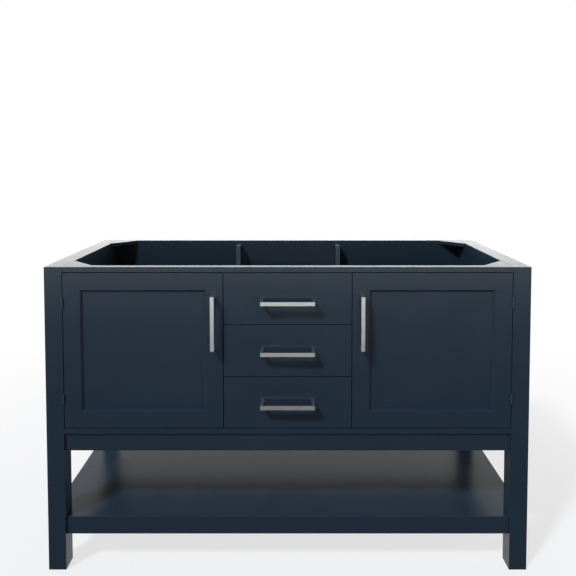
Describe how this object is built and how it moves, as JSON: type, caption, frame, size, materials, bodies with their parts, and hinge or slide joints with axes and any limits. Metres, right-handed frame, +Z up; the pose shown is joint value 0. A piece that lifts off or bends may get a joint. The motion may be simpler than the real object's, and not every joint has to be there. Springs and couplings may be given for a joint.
{
  "type": "bathroom vanity cabinet",
  "caption": "Bathroom vanity base cabinet on square legs, with shaker doors either side of a drawer bank, an open top for a sink and an open slab shelf below.",
  "frame": {"origin": "on the floor, in the middle of the cabinet's box with its pulls", "axes": "+X to the right seen from the front, the front with doors and pulls faces -Y, +Z up"},
  "size_m": [1.3716, 0.5782, 0.8763],
  "materials": {
    "navy_paint": "semi-gloss navy paint on wood and MDF",
    "birch_plywood": "clear lacquered birch plywood",
    "satin_nickel": "satin nickel plating",
    "zinc_steel": "bright zinc plating",
    "dark_hinge": "dark painted steel"
  },
  "bodies": {
    "cabinet": {"front_left_post": "navy_paint", "front_right_post": "navy_paint", "rear_left_post": "navy_paint", "rear_right_post": "navy_paint", "left_side_panel": "navy_paint", "right_side_panel": "navy_paint", "back_panel": "navy_paint", "cabinet_floor": "navy_paint", "left_partition": "navy_paint", "right_partition": "navy_paint", "top_front_rail": "navy_paint", "bottom_front_rail": "navy_paint", "front_apron": "navy_paint", "front_left_brace": "navy_paint", "front_right_brace": "navy_paint", "rear_left_brace": "navy_paint", "rear_right_brace": "navy_paint", "shelf_board": "navy_paint", "shelf_front_rail": "navy_paint", "shelf_rear_rail": "navy_paint", "shelf_left_rail": "navy_paint", "shelf_right_rail": "navy_paint", "upper_left_slide_channel": "zinc_steel", "upper_right_slide_channel": "zinc_steel", "middle_left_slide_channel": "zinc_steel", "middle_right_slide_channel": "zinc_steel", "lower_left_slide_channel": "zinc_steel", "lower_right_slide_channel": "zinc_steel", "left_upper_hinge_frame_leaf": "dark_hinge", "left_lower_hinge_frame_leaf": "dark_hinge", "right_upper_hinge_frame_leaf": "dark_hinge", "right_lower_hinge_frame_leaf": "dark_hinge"},
    "left_door": {"left_door_frame": "navy_paint", "left_door_panel": "navy_paint", "left_door_pull": "satin_nickel", "left_upper_hinge_door_leaf": "dark_hinge", "left_lower_hinge_door_leaf": "dark_hinge"},
    "right_door": {"right_door_frame": "navy_paint", "right_door_panel": "navy_paint", "right_door_pull": "satin_nickel", "right_upper_hinge_door_leaf": "dark_hinge", "right_lower_hinge_door_leaf": "dark_hinge"},
    "upper_drawer": {"upper_drawer_front": "navy_paint", "upper_drawer_box": "birch_plywood", "upper_drawer_bottom": "birch_plywood", "upper_drawer_pull": "satin_nickel", "upper_drawer_left_runner": "zinc_steel", "upper_drawer_right_runner": "zinc_steel"},
    "middle_drawer": {"middle_drawer_front": "navy_paint", "middle_drawer_box": "birch_plywood", "middle_drawer_bottom": "birch_plywood", "middle_drawer_pull": "satin_nickel", "middle_drawer_left_runner": "zinc_steel", "middle_drawer_right_runner": "zinc_steel"},
    "lower_drawer": {"lower_drawer_front": "navy_paint", "lower_drawer_box": "birch_plywood", "lower_drawer_bottom": "birch_plywood", "lower_drawer_pull": "satin_nickel", "lower_drawer_left_runner": "zinc_steel", "lower_drawer_right_runner": "zinc_steel"}
  },
  "joints": [
    {"name": "left_door_hinge", "type": "hinge", "parent": "cabinet", "child": "left_door", "pos_m": [-0.6348, -0.25995, 0.6374], "axis": [0, 0, -1], "range_deg": [0, 110]},
    {"name": "right_door_hinge", "type": "hinge", "parent": "cabinet", "child": "right_door", "pos_m": [0.6348, -0.25995, 0.6374], "axis": [0, 0, 1], "range_deg": [0, 110]},
    {"name": "upper_drawer_slide", "type": "slide", "parent": "cabinet", "child": "upper_drawer", "axis": [0, -1, 0], "range_m": [0, 0.34]},
    {"name": "middle_drawer_slide", "type": "slide", "parent": "cabinet", "child": "middle_drawer", "axis": [0, -1, 0], "range_m": [0, 0.34]},
    {"name": "lower_drawer_slide", "type": "slide", "parent": "cabinet", "child": "lower_drawer", "axis": [0, -1, 0], "range_m": [0, 0.34]}
  ]
}
